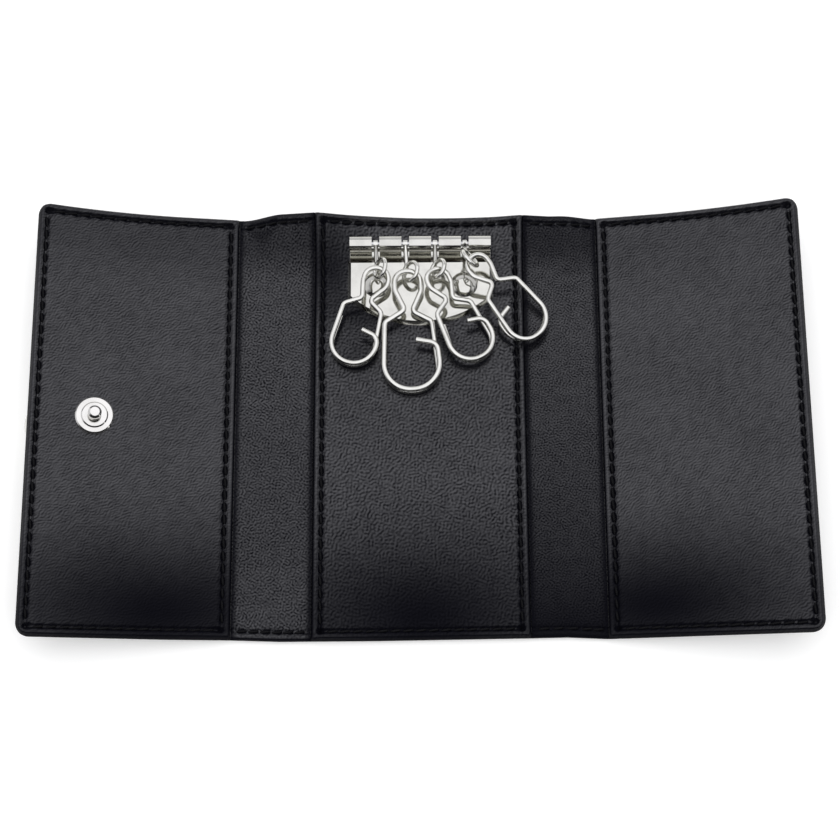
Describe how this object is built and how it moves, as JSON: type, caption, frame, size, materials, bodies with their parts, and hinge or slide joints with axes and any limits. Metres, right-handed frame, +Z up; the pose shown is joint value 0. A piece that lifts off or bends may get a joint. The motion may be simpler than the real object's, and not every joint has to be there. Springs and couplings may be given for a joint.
{
  "type": "key case",
  "caption": "Leather key case lying open: flaps folding on soft spines, a snap fastener, and a metal key plate carrying swivelling wire hooks.",
  "frame": {"origin": "centre of the back panel's underside, on the table", "axes": "+X across the open case to the viewer's right, +Y towards the key plate's edge, +Z up"},
  "size_m": [0.1856, 0.1054, 0.0133],
  "materials": {
    "outer_leather": "satin black, fine pebble grain",
    "lining_leather": "satin black, fine grain",
    "stiffener_board": "bonded fibre board, hidden",
    "thread": "black waxed thread",
    "nickel": "polished nickel plate on steel",
    "plain_steel": "plain steel"
  },
  "bodies": {
    "back": {"back_outer_leather": "outer_leather", "back_board": "stiffener_board", "back_lining": "lining_leather", "back_stitching": "thread", "key_plate": "nickel", "axle_rod": "plain_steel", "plate_rivets": "nickel", "rivet_backs": "plain_steel"},
    "left_spine": {"left_spine_outer_leather": "outer_leather", "left_spine_lining": "lining_leather", "left_spine_stitching": "thread"},
    "left_flap": {"left_flap_outer_leather": "outer_leather", "left_flap_board": "stiffener_board", "left_flap_lining": "lining_leather", "left_flap_stitching": "thread", "snap_stud": "nickel", "snap_ornament": "nickel"},
    "right_spine": {"right_spine_outer_leather": "outer_leather", "right_spine_lining": "lining_leather", "right_spine_stitching": "thread"},
    "right_flap": {"right_flap_outer_leather": "outer_leather", "right_flap_board": "stiffener_board", "right_flap_lining": "lining_leather", "right_flap_stitching": "thread", "snap_socket": "nickel", "snap_spring": "plain_steel", "snap_eyelet": "plain_steel"},
    "swivel_1": {"swivel_1": "nickel"},
    "key_hook_1": {"key_hook_1": "nickel"},
    "swivel_2": {"swivel_2": "nickel"},
    "key_hook_2": {"key_hook_2": "nickel"},
    "swivel_3": {"swivel_3": "nickel"},
    "key_hook_3": {"key_hook_3": "nickel"},
    "swivel_4": {"swivel_4": "nickel"},
    "key_hook_4": {"key_hook_4": "nickel"}
  },
  "joints": [
    {"name": "left_spine_fold", "type": "hinge", "parent": "back", "child": "left_spine", "pos_m": [-0.026, 0, 0.0018], "axis": [0, 1, 0], "range_deg": [0, 90]},
    {"name": "left_flap_fold", "type": "hinge", "parent": "left_spine", "child": "left_flap", "pos_m": [-0.0441, 0, 0.0018], "axis": [0, 1, 0], "range_deg": [-11, 73.45]},
    {"name": "right_spine_fold", "type": "hinge", "parent": "back", "child": "right_spine", "pos_m": [0.026, 0, 0.0018], "axis": [0, -1, 0], "range_deg": [0, 90], "deforming": ["right_spine_outer_leather", "right_spine_lining"]},
    {"name": "right_flap_fold", "type": "hinge", "parent": "right_spine", "child": "right_flap", "pos_m": [0.0434, 0, 0.0018], "axis": [0, -1, 0], "range_deg": [-12.5, 83.05]},
    {"name": "swivel_1_turn", "type": "hinge", "parent": "back", "child": "swivel_1", "pos_m": [-0.01065, 0.04525, 0.0049], "axis": [-1, 0, 0], "range_deg": [0, 125]},
    {"name": "key_hook_1_lift", "type": "hinge", "parent": "swivel_1", "child": "key_hook_1", "pos_m": [-0.00949, 0.0375, 0.00792], "axis": [0.9426, -0.3311, 0.0429], "range_deg": [-60, 0]},
    {"name": "swivel_2_turn", "type": "hinge", "parent": "back", "child": "swivel_2", "pos_m": [-0.00335, 0.04525, 0.0049], "axis": [-1, 0, 0], "range_deg": [0, 125]},
    {"name": "key_hook_2_lift", "type": "hinge", "parent": "swivel_2", "child": "key_hook_2", "pos_m": [-0.00208, 0.03711, 0.00684], "axis": [0.9747, -0.2233, 0.0123], "range_deg": [-45, 0]},
    {"name": "swivel_3_turn", "type": "hinge", "parent": "back", "child": "swivel_3", "pos_m": [0.00395, 0.04525, 0.0049], "axis": [-1, 0, 0], "range_deg": [0, 125]},
    {"name": "key_hook_3_lift", "type": "hinge", "parent": "swivel_3", "child": "key_hook_3", "pos_m": [0.00455, 0.03727, 0.00796], "axis": [0.9904, 0.0721, -0.1183], "range_deg": [-45, 0]},
    {"name": "swivel_4_turn", "type": "hinge", "parent": "back", "child": "swivel_4", "pos_m": [0.01125, 0.04525, 0.0049], "axis": [-1, 0, 0], "range_deg": [0, 125]},
    {"name": "key_hook_4_lift", "type": "hinge", "parent": "swivel_4", "child": "key_hook_4", "pos_m": [0.0124, 0.03905, 0.01028], "axis": [0.6547, 0.7549, 0.0376], "range_deg": [-60, 0]}
  ]
}
